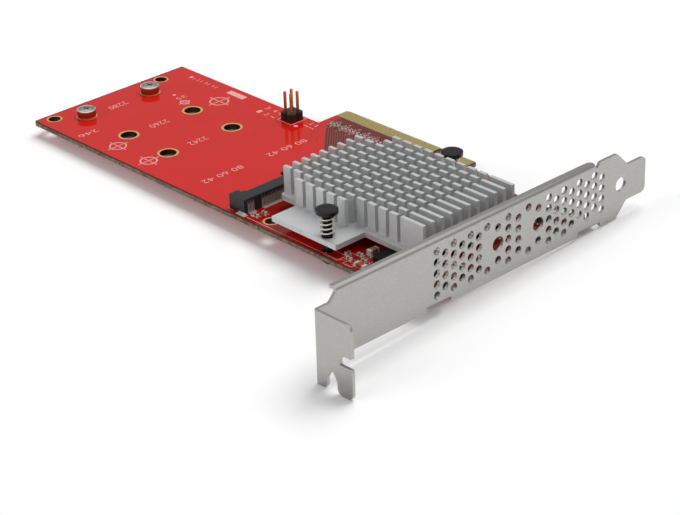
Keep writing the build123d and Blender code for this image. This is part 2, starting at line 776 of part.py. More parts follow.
with BuildPart() as bracket:
    with BuildSketch(Plane.YZ.offset(bracket_inner_x)) as plate:
        with BuildLine():
            Polyline(
                (tab_outer_y, bracket_bottom),
                *lug_outline,
                (lobe_y[1], bracket_bottom),
                (lobe_y[1] + tongue_low - bracket_bottom, tongue_low),
                (tongue_end_y, tongue_low),
                (tongue_end_y, tongue_high),
                (lobe_y[1] + bracket_top - tongue_high, tongue_high),
                (lobe_y[1], bracket_top),
                (lobe_y[0], bracket_top),
                (vee_y, vee_bottom),
                (lip_end_y, bracket_top - sheet_bend),
                (lip_start_y, bracket_top - sheet_bend),
                (lip_start_y - end_slope, end_top),
                (tab_outer_y, end_top),
                close=True,
            )
        make_face()
        fillet(plate.vertices().group_by(Axis.X)[-1], tongue_radius)
        lobe_ends = edges_at(plate.vertices(), Axis.X, lobe_y[1])
        fillet(edges_at(lobe_ends, Axis.Y, bracket_top), lobe_corner)
        with Locations((tongue_hole_y, tongue_hole_z)):
            Circle(tongue_hole / 2, mode=Mode.SUBTRACT)
        with Locations((window_y, window_z), (window_y + window_pitch, window_z)):
            Circle(window_diameter / 2, mode=Mode.SUBTRACT)
        with Locations(*perforations):
            Circle(perf_diameter / 2, mode=Mode.SUBTRACT)
    extrude(amount=sheet)

    # Folds: the lip along the top edge and the two lugs under the board
    lug_length = bracket_outer_x - bracket_hole_x + lug_beyond_hole
    folds = [(lip_start_y, lip_end_y, bracket_top, -1, lip_width)]
    folds += [(start, end, lug_bottom, 1, lug_length) for start, end in lug_sides]
    for start_y, end_y, face_z, inward, reach in folds:
        with BuildSketch(Plane.XZ.offset(-end_y)):
            with BuildLine():
                bend_z = face_z + inward * sheet_bend
                under_z = face_z + inward * sheet
                Polyline((bracket_inner_x, bend_z), (bracket_outer_x, bend_z))
                RadiusArc(
                    (bracket_outer_x, bend_z),
                    (bracket_outer_x - sheet_bend, face_z),
                    inward * sheet_bend,
                )
                Polyline(
                    (bracket_outer_x - sheet_bend, face_z),
                    (bracket_outer_x - reach, face_z),
                    (bracket_outer_x - reach, under_z),
                    (bracket_outer_x - sheet_bend, under_z),
                )
                RadiusArc(
                    (bracket_outer_x - sheet_bend, under_z),
                    (bracket_inner_x, bend_z),
                    -inward * (sheet_bend - sheet),
                )
            make_face()
        extrude(amount=end_y - start_y)
    free_edges = bracket.edges().filter_by(Axis.Z)
    lip_corners = free_edges.filter_by_position(Axis.Z, bracket_top - sheet, bracket_top)
    fillet(edges_at(lip_corners, Axis.Y, lip_end_y), lip_corner)
    with Locations(*[(x, y, board_bottom) for x, y in bracket_screw_places]):
        Hole(bracket_thread / 2, depth=sheet)

    # Screw tab, folded outwards, with a slot open at the bottom and a notch in its free edge
    tab_free_x = bracket_inner_x + tab_length
    slot_left = bracket_inner_x + screw_slot_x
    slot_right = slot_left + screw_slot_width
    slot_middle = (slot_left + slot_right) / 2
    arch_z = (screw_slot_apex + screw_slot_spring) / 2
    arch_swell = screw_slot_width / 3
    with BuildSketch(Plane.XZ.offset(-tab_outer_y - sheet)) as tab:
        with BuildLine():
            Polyline((slot_right, screw_slot_spring), (slot_right, tab_foot), (tab_free_x, tab_foot))
            Polyline(
                (tab_free_x, tab_foot),
                (tab_free_x, tab_notch_z[0]),
                (tab_free_x - tab_notch, tab_notch_z[0]),
                (tab_free_x - tab_notch, tab_notch_z[1] - tab_notch_cut),
                (tab_free_x - tab_notch + tab_notch_cut, tab_notch_z[1]),
                (tab_free_x, tab_notch_z[1]),
                (tab_free_x, end_top),
                (bracket_inner_x, end_top),
                (bracket_inner_x, tab_foot),
                (slot_left, tab_foot),
                (slot_left, screw_slot_spring),
            )
            ThreePointArc(
                (slot_left, screw_slot_spring),
                (slot_middle - arch_swell, arch_z),
                (slot_middle, screw_slot_apex),
            )
            ThreePointArc(
                (slot_middle, screw_slot_apex),
                (slot_middle + arch_swell, arch_z),
                (slot_right, screw_slot_spring),
            )
        make_face()
        free_corners = tab.vertices().group_by(Axis.X)[-1].sort_by(Axis.Y)
        fillet(free_corners[-1], tab_corner)
        feet = tab.vertices().group_by(Axis.Y)[0].sort_by(Axis.X)[1:]
        fillet(feet, foot_radius)
        notch_corners = tab.vertices().group_by(Axis.X)[-1].sort_by(Axis.Y)[1:3]
        fillet(notch_corners, tab_notch_cut / 2)
    extrude(amount=sheet)

    # Fold between plate and tab
    fold_edges = bracket.edges().filter_by(Axis.Z)
    fold_edges = edges_at(fold_edges, Axis.X, bracket_inner_x)
    fillet(edges_at(fold_edges, Axis.Y, tab_outer_y), tab_bend)
bracket.part.label = "bracket"
export_step(bracket.part, "parts/bracket.step")

# Bracket screws: heads on the component face, threads in the lugs
screw_end = lug_bottom - bracket_screw_below
with BuildPart() as one_bracket_screw:
    with BuildSketch(Plane.XZ):
        with BuildLine():
            Polyline(
                (0, bracket_screw_head_height),
                (0, screw_end),
                (bracket_thread / 2, screw_end),
                (bracket_thread / 2, 0),
                (bracket_screw_head / 2, 0),
                (bracket_screw_head / 2, bracket_screw_head_height - bracket_screw_dome),
            )
            ThreePointArc(
                (bracket_screw_head / 2, bracket_screw_head_height - bracket_screw_dome),
                (bracket_screw_head / 4, bracket_screw_head_height - bracket_screw_dome / 4),
                (0, bracket_screw_head_height),
            )
        make_face()
    revolve(axis=Axis.Z)
    with BuildSketch(Plane.XY.offset(bracket_screw_head_height)):
        Rectangle(recess_length, recess_width)
        Rectangle(recess_width, recess_length)
    extrude(amount=-2 * recess_depth, mode=Mode.SUBTRACT)
with BuildPart() as bracket_screws:
    with Locations(*bracket_screw_places):
        add(one_bracket_screw.part)
bracket_screws.part.label = "bracket_screws"
export_step(bracket_screws.part, "parts/bracket_screws.step")

# Small two-ended parts: a body between two metal ends, turned to lie along X or Y
coupling_places = [(coupling_x + i * coupling_pitch, coupling_y, 90) for i in range(coupling_count)]
small_part_places += [(board_near_x - inset, y, turn) for inset, y, turn in small_parts_at_end]
bulk_places += [(board_near_x - inset, y, turn) for inset, y, turn in bulk_at_end]
for name, size, places in (
    ("coupling_capacitor", coupling_size, coupling_places),
    ("small_part", small_part_size, small_part_places),
    ("bulk_capacitor", bulk_size, bulk_places),
    ("fuse", fuse_size, fuse_places),
):
    length, width, height = size
    end_length = length * terminal_share
    with BuildPart() as one_body:
        Box(length - 2 * end_length, width, height, align=(Align.CENTER, Align.CENTER, Align.MIN))
    with BuildPart() as one_pair:
        for side in (-1, 1):
            with Locations((side * (length - end_length) / 2, 0, 0)):
                Box(end_length, width, height, align=(Align.CENTER, Align.CENTER, Align.MIN))
        outer_edges = one_pair.edges().filter_by(Axis.Y).group_by(Axis.X)
        fillet(outer_edges[0] + outer_edges[-1], terminal_round)
    with BuildPart() as bodies:
        with Locations(*[Location((x, y, 0), (0, 0, turn)) for x, y, turn in places]):
            add(one_body.part)
    bodies.part.label = f"{name}_bodies"
    export_step(bodies.part, f"parts/{name}_bodies.step")
    with BuildPart() as ends:
        with Locations(*[Location((x, y, 0), (0, 0, turn)) for x, y, turn in places]):
            add(one_pair.part)
    ends.part.label = f"{name}_ends"
    export_step(ends.part, f"parts/{name}_ends.step")

# Power inductor beside the heatsink, just inside the bracket
with BuildPart() as inductor:
    with Locations((inductor_place[0], inductor_place[1], 0)):
        Box(inductor_size, inductor_size, inductor_height, align=(Align.CENTER, Align.CENTER, Align.MIN))
    chamfer(inductor.edges().filter_by(Axis.Z), inductor_corner)
inductor.part.label = "inductor"
export_step(inductor.part, "parts/inductor.step")

# Chips with legs along two sides
for name, size, (inset, end_y) in (
    ("regulator_chip", regulator_size, regulator_at_end),
    ("memory_chip", memory_size, memory_at_end),
):
    length, width, height = size
    legs = int(length / lead_pitch)
    place = (board_near_x - inset, end_y)
    with BuildPart() as chip:
        with Locations((place[0], place[1], 0)):
            Box(length, width, height, align=(Align.CENTER, Align.CENTER, Align.MIN))
    chip.part.label = name
    export_step(chip.part, f"parts/{name}.step")
    with BuildPart() as chip_legs:
        for side in (-1, 1):
            leg_y = place[1] + side * (width + lead_reach) / 2
            for i in range(legs):
                leg_x = place[0] + (i - (legs - 1) / 2) * lead_pitch
                with Locations((leg_x, leg_y, 0)):
                    Box(lead_width, lead_reach, lead_thick, align=(Align.CENTER, Align.CENTER, Align.MIN))
                with Locations((leg_x, place[1] + side * (width + lead_thick) / 2, 0)):
                    Box(lead_width, lead_thick, height / 2, align=(Align.CENTER, Align.CENTER, Align.MIN))
    chip_legs.part.label = f"{name}_legs"
    export_step(chip_legs.part, f"parts/{name}_legs.step")

# Clock crystal in its metal can
with BuildPart() as crystal:
    with Locations((board_near_x - crystal_at_end[0], crystal_at_end[1], 0)):
        Box(*crystal_size, align=(Align.CENTER, Align.CENTER, Align.MIN))
    fillet(crystal.edges().filter_by(Axis.Z), terminal_round)
crystal.part.label = "crystal"
export_step(crystal.part, "parts/crystal.step")

# Two lights at the board's end, one behind each window
led_x = board_near_x - led_setback - led_size[0] / 2
with BuildPart() as indicator_lights:
    for light_y in (window_y, window_y + window_pitch):
        with Locations((led_x, light_y, 0)):
            Box(*led_size, align=(Align.CENTER, Align.CENTER, Align.MIN))
        with Locations((led_x, light_y, led_size[2])):
            Box(led_lens, led_size[1], led_lens / 2, align=(Align.CENTER, Align.CENTER, Align.MIN))
indicator_lights.part.label = "indicator_lights"
export_step(indicator_lights.part, "parts/indicator_lights.step")
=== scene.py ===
# %% [markdown]
# # An expansion card for slim solid-state drives
# A red circuit board stands behind a folded steel slot bracket. It carries two low drive sockets,
# two turned standoffs, a pin-fin heatsink held by two sprung pins, a small header and a gold edge
# connector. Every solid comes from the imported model. This lesson gives each one the finish of the
# real thing, and adds what is printed, plated or soldered on it.

# %% Open the frame
import math
import random

import bmesh
import bpy
from mathutils import Matrix, Vector


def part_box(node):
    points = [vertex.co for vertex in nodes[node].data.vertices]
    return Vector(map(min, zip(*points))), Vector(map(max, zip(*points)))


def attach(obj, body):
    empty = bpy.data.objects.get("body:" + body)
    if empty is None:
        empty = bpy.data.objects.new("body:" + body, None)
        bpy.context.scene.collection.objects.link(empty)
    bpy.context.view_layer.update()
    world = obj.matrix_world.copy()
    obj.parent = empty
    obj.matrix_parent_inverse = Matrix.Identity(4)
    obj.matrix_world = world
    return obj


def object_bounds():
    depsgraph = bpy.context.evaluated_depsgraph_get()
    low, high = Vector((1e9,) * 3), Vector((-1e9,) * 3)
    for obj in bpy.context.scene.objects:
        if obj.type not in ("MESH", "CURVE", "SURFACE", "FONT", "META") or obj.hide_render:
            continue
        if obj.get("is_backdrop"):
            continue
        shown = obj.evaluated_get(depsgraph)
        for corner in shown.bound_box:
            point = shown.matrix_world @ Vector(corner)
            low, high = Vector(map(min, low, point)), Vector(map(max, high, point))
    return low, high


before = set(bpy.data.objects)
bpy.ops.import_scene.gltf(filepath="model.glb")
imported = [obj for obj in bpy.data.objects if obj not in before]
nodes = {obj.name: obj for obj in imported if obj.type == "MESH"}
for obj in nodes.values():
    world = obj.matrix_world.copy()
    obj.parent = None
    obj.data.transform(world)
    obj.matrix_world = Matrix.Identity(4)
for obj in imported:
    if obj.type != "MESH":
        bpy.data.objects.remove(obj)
solid_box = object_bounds()
mm = 0.001
print("nodes:", len(nodes), "box in mm:", [round(v / mm, 1) for corner in solid_box for v in corner])

# %% [markdown]
# ## The camera
# The photograph was taken with a long lens from the bracket's side, 28 degrees above the board. The
# camera's place and its three axes were found by matching the board's corners, the holes and the
# bracket, so they are given as numbers and not aimed by eye.

# %% Place the camera
camera_data = bpy.data.cameras.new("product_camera")
camera_data.sensor_width = 36.0
camera_data.lens = 116.69
camera_data.clip_start = 0.02
camera_data.clip_end = 20.0
camera = bpy.data.objects.new("product_camera", camera_data)
bpy.context.scene.collection.objects.link(camera)
camera_right = Vector((0.686223, 0.726814, -0.028960))
camera_up = Vector((-0.319624, 0.337059, 0.885568))
camera_axes = Matrix((camera_right, camera_up, camera_right.cross(camera_up))).transposed()
camera.matrix_world = Matrix.Translation((0.39959, -0.40787, 0.26435)) @ camera_axes.to_4x4()
bpy.context.scene.camera = camera
bpy.context.scene.view_settings.view_transform = "Standard"
print("lens", camera_data.lens, "mm")

# %% [markdown]
# ## Three small tools
# Colours are picked as sRGB hex codes, and Blender's shaders want linear numbers, so one function
# turns them. One adds a shader node with its settings and links. One starts a finish with the
# values that are the same all over its surface.


# %% Colour, node and finish
def paint(code):
    """A linear colour from an sRGB hex code."""
    parts = [int(code[i : i + 2], 16) / 255 for i in (1, 3, 5)]
    return (*[c / 12.92 if c <= 0.04045 else ((c + 0.055) / 1.055) ** 2.4 for c in parts], 1.0)


def add_node(tree, kind, sockets=None, **settings):
    """A shader node. A socket's value may be a number, a colour or another node's output."""
    node = tree.nodes.new(kind)
    for name, value in settings.items():
        setattr(node, name, value)
    for name, value in (sockets or {}).items():
        if isinstance(value, bpy.types.NodeSocket):
            tree.links.new(value, node.inputs[name])
        else:
            node.inputs[name].default_value = value
    return node


def start_finish(name, colour, roughness, metallic=0.0, **sockets):
    """A material with one Principled shader: returns the material, its tree and the shader."""
    finish = bpy.data.materials.new(name)
    finish.use_nodes = True
    shader = finish.node_tree.nodes["Principled BSDF"]
    values = {"Base Color": paint(colour), "Roughness": roughness, "Metallic": metallic}
    for key, value in {**values, **sockets}.items():
        shader.inputs[key].default_value = value
    return finish, finish.node_tree, shader


# %% [markdown]
# ## Floor
# Product shots of hardware are taken on a white paper sweep. A card with no chassis rests on the
# tab's foot, a push pin's tip and the header's pins, so the floor leans by two degrees to touch all
# three. The paper is a plain diffuse white, and a little of its own light is added for the camera
# alone, so that it shows white and still keeps the card's soft shadow.

# %% Lay the floor
rest_point = Vector((20.36, -18.01, -3.8)) * mm
rest_up = Vector((0.0097, -0.0396, 0.9992)).normalized()
floor_half = 3.0
paper_white = 0.94
paper_lift = 0.08
floor_mesh = bpy.data.meshes.new("white_sweep")
shape = bmesh.new()
lean = rest_up.to_track_quat("Z", "Y").to_matrix().to_4x4()
bmesh.ops.create_grid(
    shape, x_segments=1, y_segments=1, size=floor_half, matrix=Matrix.Translation(rest_point) @ lean
)
shape.to_mesh(floor_mesh)
shape.free()
floor = bpy.data.objects.new("white_sweep", floor_mesh)
bpy.context.scene.collection.objects.link(floor)
floor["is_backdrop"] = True

floor_paint = bpy.data.materials.new("white_paper_sweep")
floor_paint.use_nodes = True
tree = floor_paint.node_tree
tree.nodes.clear()
ray = add_node(tree, "ShaderNodeLightPath").outputs
paper = add_node(tree, "ShaderNodeBsdfDiffuse", {"Color": (paper_white, paper_white, paper_white, 1.0)})
lift = add_node(tree, "ShaderNodeMath", {0: ray["Is Camera Ray"], 1: paper_lift}, operation="MULTIPLY")
glow = add_node(tree, "ShaderNodeEmission", {"Color": (1, 1, 1, 1), "Strength": lift.outputs[0]})
both = add_node(tree, "ShaderNodeAddShader", {0: paper.outputs[0], 1: glow.outputs[0]})
add_node(tree, "ShaderNodeOutputMaterial", {"Surface": both.outputs[0]})
floor_mesh.materials.append(floor_paint)
print("floor leans by", round(math.degrees(rest_up.angle((0, 0, 1))), 1), "degrees")

# %% [markdown]
# ## Surroundings and lamps
# The camera and clear parts see white all round. Reflections see that white overhead and a greyer
# wall towards the horizon, as in a real studio, which keeps the gloss on the red mask and the black
# plastics low and gives the folded steel its bright bend. The main soft box hangs above and a
# little behind, which brings the soft shadow forward, and a small one fills the near side. Both
# are hidden from reflections, so that no lamp burns out a level face.

# %% Surround the card
ambient_level = 0.29
wall_level = 0.39
wall_top = 0.48
ceiling_edge = 0.78
world = bpy.data.worlds.new("studio")
bpy.context.scene.world = world
world.use_nodes = True
tree = world.node_tree
tree.nodes.clear()
ray = add_node(tree, "ShaderNodeLightPath").outputs
view = [ray["Is Camera Ray"], ray["Is Transmission Ray"]]
seen = add_node(tree, "ShaderNodeMath", {0: view[0], 1: view[1]}, operation="MAXIMUM")
towards = add_node(tree, "ShaderNodeTexCoord").outputs["Generated"]
height = add_node(tree, "ShaderNodeSeparateXYZ", {0: towards}).outputs["Z"]
climb = {"Value": height, "From Min": wall_top, "From Max": ceiling_edge, "To Min": wall_level}
grading = add_node(tree, "ShaderNodeMapRange", climb).outputs["Result"]
backgrounds = []
for strength in (ambient_level, grading, 1.0):
    light = {"Color": (1, 1, 1, 1), "Strength": strength}
    backgrounds.append(add_node(tree, "ShaderNodeBackground", light).outputs[0])
ambient, walls, white = backgrounds
unseen = add_node(tree, "ShaderNodeMixShader", {0: ray["Is Glossy Ray"], 1: ambient, 2: walls})
shown = add_node(tree, "ShaderNodeMixShader", {0: seen.outputs[0], 1: unseen.outputs[0], 2: white})
add_node(tree, "ShaderNodeOutputWorld", {"Surface": shown.outputs[0]})
print("ambient", ambient_level, "walls", wall_level)


# %% Hang the lamps
def hang_lamp(name, place, size, level):
    """A square soft box aimed at the card. level is the white it gives a surface that faces it."""
    target = Vector((0.0, -0.045, 0.0))
    lamp = bpy.data.lights.new(name, "AREA")
    lamp.shape = "SQUARE"
    lamp.size = size
    lamp.energy = level * math.pi**2 * (Vector(place) - target).length ** 2
    holder = bpy.data.objects.new(name, lamp)
    bpy.context.scene.collection.objects.link(holder)
    holder.visible_glossy = False
    holder.location = place
    holder.rotation_euler = (target - Vector(place)).to_track_quat("-Z", "Y").to_euler()


hang_lamp("main_soft_box", (0.06, 1.25, 2.90), 2.20, 0.78)
hang_lamp("near_soft_box", (-0.30, -1.50, 0.90), 0.80, 0.20)

# %% [markdown]
# ## The board
# The board is glass cloth in epoxy, 1.6 mm thick, under a glossy red solder mask. Where copper lies
# under the mask the red is bright; where the laminate is bare beneath it, as between the fine
# traces by the edge connector, it is maroon. The tongue has no mask between its contacts, and the
# sawn sides show the tan laminate. All of this depends on place, so the finish is a stack of
# colours, and each layer has its gates: it shows where a point's X or Y in millimetres passes a
# line, and the surface's normal tells the upper face and the sides.

# %% The lines on the board, in millimetres
board_lines = {
    "past_pour": ("X", "GREATER_THAN", -37.2),
    "before_end": ("X", "LESS_THAN", 13.4),
    "on_fingers": ("Y", "GREATER_THAN", -5.25),
    "before_ear": ("X", "LESS_THAN", 3.5),
    "near_side": ("Y", "LESS_THAN", -38.0),
    "far_rim": ("X", "LESS_THAN", -101.8),
    "far_strip": ("X", "LESS_THAN", -99.0),
    "mask_edge": ("Z", "GREATER_THAN", -0.45),
    "past_slant": ("Y+X", "GREATER_THAN", -48.5),
    "near_corner": ("Y+X", "LESS_THAN", -169.2),
    "far_corner": ("Y-X", "GREATER_THAN", 87.6),
}
print("lines on the board:", len(board_lines))


# %% Solder mask over laminate
def make_board_finish(name, over_copper, over_laminate):
    """The board's faces and sides, from a colour over copper and one over bare laminate."""
    finish, tree, shader = start_finish(name, over_copper, 0.1, **{"Specular IOR Level": 0.38})
    place = add_node(tree, "ShaderNodeTexCoord").outputs["Object"]
    place = add_node(tree, "ShaderNodeVectorMath", {0: place, "Scale": 1 / mm}, operation="SCALE").outputs[0]
    axis = dict(add_node(tree, "ShaderNodeSeparateXYZ", {0: place}).outputs.items())
    for key, turn in (("Y+X", "ADD"), ("Y-X", "SUBTRACT")):
        ends = {0: axis["Y"], 1: axis["X"]}
        axis[key] = add_node(tree, "ShaderNodeMath", ends, operation=turn).outputs[0]
    normal = add_node(tree, "ShaderNodeNewGeometry").outputs["Normal"]
    facing = add_node(tree, "ShaderNodeSeparateXYZ", {0: normal}).outputs["Z"]
    either = add_node(tree, "ShaderNodeMath", {0: facing}, operation="ABSOLUTE").outputs[0]

    gate = {}
    tests = {line: (axis[key], test, limit) for line, (key, test, limit) in board_lines.items()}
    tests["upper"] = (facing, "GREATER_THAN", 0.5)
    tests["side"] = (either, "LESS_THAN", 0.5)
    for line, (value, test, limit) in tests.items():
        gate[line] = add_node(tree, "ShaderNodeMath", {0: value, 1: limit}, operation=test).outputs[0]

    # Noise for the mask's clouds, the cloth under the fingers, the sawn side and the mask's skin
    noise = {}
    for use, size in (("cloud", 9.0), ("cloth", 0.5), ("sawn", 0.9), ("skin", 0.6)):
        pattern = {"Vector": place, "Scale": 1 / size, "Detail": 2.0}
        noise[use] = add_node(tree, "ShaderNodeTexNoise", pattern).outputs["Fac"]

    # Places where a layer comes in slowly: (value, from, to, how strong it gets)
    slow = {
        "clouds": (noise["cloud"], 0.3, 0.7, 0.22),
        "weave": (noise["cloth"], 0.3, 0.7, 1.0),
        "saw_marks": (noise["sawn"], 0.3, 0.7, 1.0),
        # Painted shade: the mask darkens towards the bracket, as if in its shade.
        "bracket_shade": (axis["X"], 12.0, 40.0, 0.9),
        # Painted shade: the mask darkens between the near socket and the heatsink's ear.
        "socket_gap": (axis["X"], -15.0, -11.5, 0.6),
    }
    for use, (value, low, high, most) in slow.items():
        ranged = {"Value": value, "From Min": low, "From Max": high, "To Max": most}
        gate[use] = add_node(tree, "ShaderNodeMapRange", ranged).outputs["Result"]

    # Mixed in turn, each over the last: the colour and the gates that must all be open
    layers = [
        ("#B41209", ["clouds"]),  # where the mask is thicker
        (over_laminate, ["past_pour", "past_slant", "before_end", "upper"]),  # between the traces
        ("#380A07", ["bracket_shade", "upper"]),  # painted shade behind the bracket
        ("#4A0B08", ["socket_gap", "near_side", "before_ear", "upper"]),  # painted shade between the near socket and the heatsink's ear
        ("#4A1A16", ["far_rim"]),  # the mask ends just short of the edge
        ("#6A5230", ["near_corner", "far_strip"]),  # bare marks at the far corners
        ("#6A5230", ["far_corner", "far_strip"]),
        ("#8A7C4E", ["on_fingers", "before_end"]),  # laminate between the contacts
        ("#9E915F", ["on_fingers", "before_end", "weave"]),
        ("#4E3F33", ["side"]),  # sawn laminate
        ("#93836C", ["side", "saw_marks"]),
        ("#521310", ["side", "mask_edge"]),  # mask that runs over the upper edge
    ]
    colour = paint(over_copper)
    for over, gates in layers:
        share = gate[gates[0]]
        for other in gates[1:]:
            both = {0: share, 1: gate[other]}
            share = add_node(tree, "ShaderNodeMath", both, operation="MULTIPLY").outputs[0]
        mixed = {0: share, 6: colour, 7: paint(over)}
        colour = add_node(tree, "ShaderNodeMix", mixed, data_type="RGBA").outputs[2]
    tree.links.new(colour, shader.inputs["Base Color"])

    # Smooth mask, dull sides, and satin laminate between the fingers
    matt = add_node(tree, "ShaderNodeMix", {0: gate["side"], 2: 0.12, 3: 0.75}).outputs[0]
    fingers = {0: gate["on_fingers"], 1: gate["before_end"]}
    fingers = add_node(tree, "ShaderNodeMath", fingers, operation="MULTIPLY").outputs[0]
    matt = add_node(tree, "ShaderNodeMix", {0: fingers, 2: matt, 3: 0.45}).outputs[0]
    tree.links.new(matt, shader.inputs["Roughness"])
    waves = {"Height": noise["skin"], "Distance": 0.002 * mm, "Strength": 1.0}
    tree.links.new(add_node(tree, "ShaderNodeBump", waves).outputs["Normal"], shader.inputs["Normal"])
    return finish


board_finish = make_board_finish("red_solder_mask", "#D2140B", "#5C1613")
print("board finish nodes:", len(board_finish.node_tree.nodes))


# %% [markdown]
# ## A grained surface
# Metal, moulded nylon and fired ceramic are all slightly uneven. Their grain is one noise whose
# blobs have a real size in millimetres, drawn out along an axis where the work was done in one
# direction. The same noise mixes two near colours, moves the roughness and raises a fine bump. A
# pixel of the picture is about 0.3 mm of the card, and the real grain is mostly finer, so it is
# drawn as coarse as it needs to show.


# %% Grain in the colour, the roughness and the height
def make_surface(name, colour, worn, roughness, size, stretch, depth, uneven, **sockets):
    """A finish whose grain has a size in millimetres.

    A stretch below 1 draws the grain out along that axis. Depth is the bump's, in millimetres, and
    uneven is the range of the roughness.
    """
    finish, tree, shader = start_finish(name, colour, roughness, **sockets)
    place = add_node(tree, "ShaderNodeTexCoord").outputs["Object"]
    drawn = {"Vector": place, "Scale": [along / mm for along in stretch]}
    place = add_node(tree, "ShaderNodeMapping", drawn).outputs[0]
    pattern = {"Vector": place, "Scale": 1 / size, "Detail": 3.0}
    noise = add_node(tree, "ShaderNodeTexNoise", pattern).outputs["Fac"]
    wear = add_node(tree, "ShaderNodeMapRange", {"Value": noise, "From Min": 0.3, "From Max": 0.7})
    mixed = {0: wear.outputs["Result"], 6: paint(colour), 7: paint(worn)}
    mixed = add_node(tree, "ShaderNodeMix", mixed, data_type="RGBA").outputs[2]
    tree.links.new(mixed, shader.inputs["Base Color"])
    low, high = (roughness * part for part in uneven)
    gloss = {"Value": noise, "From Min": 0.3, "From Max": 0.7, "To Min": low, "To Max": high}
    gloss = add_node(tree, "ShaderNodeMapRange", gloss).outputs["Result"]
    tree.links.new(gloss, shader.inputs["Roughness"])
    if depth:
        bump = add_node(tree, "ShaderNodeBump", {"Height": noise, "Distance": depth * mm, "Strength": 1.0})
        tree.links.new(bump.outputs["Normal"], shader.inputs["Normal"])
    return finish


# %% [markdown]
# ## Metals
# Metals differ mostly in how they were worked. Rolled and plated sheet is satin with a faint grain;
# sawn and anodised aluminium is pale and dull; turned steel and spring wire are bright; plated gold
# on contacts is smooth but thin, so it looks khaki in white light. Each keeps the default IOR and
# differs in colour, roughness and the direction of its grain. A coat that scatters light, as oxide
# or solder does, is drawn as a part of the metal that isn't metallic.


# %% Satin, sawn, turned and plated metal
def make_metal(name, colour, worn, roughness, size, stretch=(1, 1, 1), depth=0.0, metallic=1.0):
    """Metal with a grain of that size in millimetres."""
    return make_surface(
        name, colour, worn, roughness, size, stretch, depth, (0.85, 1.2), metallic=metallic
    )


# Cold-rolled steel with a satin nickel coat: the rolling grain runs along the bracket.
bracket_metal = make_metal("satin_nickel_on_steel", "#BDBCB9", "#B5B4B1", 0.34, 0.3, (1, 0.4, 1), 0.0005)
# Extruded, cross-cut and clear-anodised aluminium: dull, with faint upright saw marks.
fin_metal = make_metal("clear_anodised_aluminium", "#D6D7D7", "#CBCCCD", 0.5, 0.25, (1, 1, 0.1), 0.001, 0.45)
# Zinc-plated screws: duller than the posts they sit in.
screw_metal = make_metal("zinc_plated_screw", "#D4D2CD", "#C2C0BB", 0.16, 0.3)
# Steel turned on a lathe and nickel plated: nearly a mirror, with fine rings round the post.
turned_metal = make_metal("turned_nickel_steel", "#E2E0DC", "#D8D5D0", 0.06, 0.2, (0.1, 0.1, 1))
# Drawn music wire: bright, smooth.
wire_metal = make_metal("bright_spring_wire", "#EAE8E2", "#D8D5CC", 0.16, 0.4)
# Gold flash over nickel on the edge contacts and rings.
contact_gold = make_metal("gold_on_edge_contacts", "#D6C282", "#CAB472", 0.3, 0.8, metallic=0.75)
ring_gold = make_metal("gold_flash_ring", "#F2BE80", "#E4AE6C", 0.34, 0.6, metallic=0.5)
# Square brass wire with a thin gold coat, darker where it was cut.
pin_gold = make_metal("gilt_brass_pin", "#DDB681", "#C49A62", 0.3, 0.5, (1, 1, 0.15))
# Tin on chip legs and part ends: soft grey-white and a little uneven from soldering.
tin_metal = make_metal("soldered_tin", "#E4E3E0", "#CCCBC8", 0.3, 0.3, (1, 1, 1), 0.004, 0.45)
# Tin-plated phosphor bronze springs in the sockets.
beam_metal = make_metal("tinned_bronze_contact", "#EAE6DC", "#D2CCC0", 0.22, 0.3, metallic=0.3)
# Thin nickel can drawn over the crystal.
can_metal = make_metal("drawn_nickel_can", "#D2CFC8", "#C5C1B9", 0.28, 0.5)
print("finishes so far:", len(bpy.data.materials))

# %% [markdown]
# ## Plated holes and turned posts
# The wall of a plated hole is rough, and its dark brown is painted shade, and the red on the side of a
# polished post is a painted reflection of the board. The finish is told apart by the surface's normal:
# what doesn't face up or down takes the darker painted colour.

# %% Paint shade on the walls of the holes and the board's reflection on the sides of the posts
# Painted shade on the hole walls, and a painted red reflection of the board on the post sides.
for finish, side in ((ring_gold, "#4A2E16"), (turned_metal, "#A86A52")):
    tree = finish.node_tree
    shader = tree.nodes["Principled BSDF"]
    normal = add_node(tree, "ShaderNodeNewGeometry").outputs["Normal"]
    facing = add_node(tree, "ShaderNodeSeparateXYZ", {0: normal}).outputs["Z"]
    either = add_node(tree, "ShaderNodeMath", {0: facing}, operation="ABSOLUTE").outputs[0]
    painted_side = add_node(tree, "ShaderNodeMath", {0: either, 1: 0.3}, operation="LESS_THAN").outputs[0]
    plated = shader.inputs["Base Color"].links[0].from_socket
    mixed = {0: painted_side, 6: plated, 7: paint(side)}
    mixed = add_node(tree, "ShaderNodeMix", mixed, data_type="RGBA").outputs[2]
    tree.links.new(mixed, shader.inputs["Base Color"])
    print(finish.name, "sides darkened to", side)

# %% [markdown]
# ## Plastics, ceramics and the pad
# The sockets and the header are moulded in glass-filled nylon, which is dark grey and slightly
# rough. The push pins are a smoother, blacker nylon with a soft shine. Chips are black epoxy, fine
# and matt. Ceramic parts are tan or brown, and the thermal pad is a soft grey silicone.


# %% Moulded, fired and cast
def make_dielectric(name, colour, other, roughness, size, depth, **sockets):
    """Plastic, ceramic or ink with an even grain of that size in millimetres."""
    return make_surface(
        name, colour, other, roughness, size, (1, 1, 1), depth, (0.9, 1.12), **sockets
    )


low_gloss = {"Specular IOR Level": 0.3}
no_gloss = {"Specular IOR Level": 0.1}
# Moulded nylon filled with glass fibre: dark grey, and faintly rough where the fibres end.
socket_nylon = make_dielectric("glass_filled_nylon", "#2A2D2F", "#212325", 0.42, 0.2, 0.004, **low_gloss)
# Moulded header plastic: black with a soft sheen.
header_nylon = make_dielectric("black_header_nylon", "#151515", "#1E1D1C", 0.38, 0.2, 0.003)
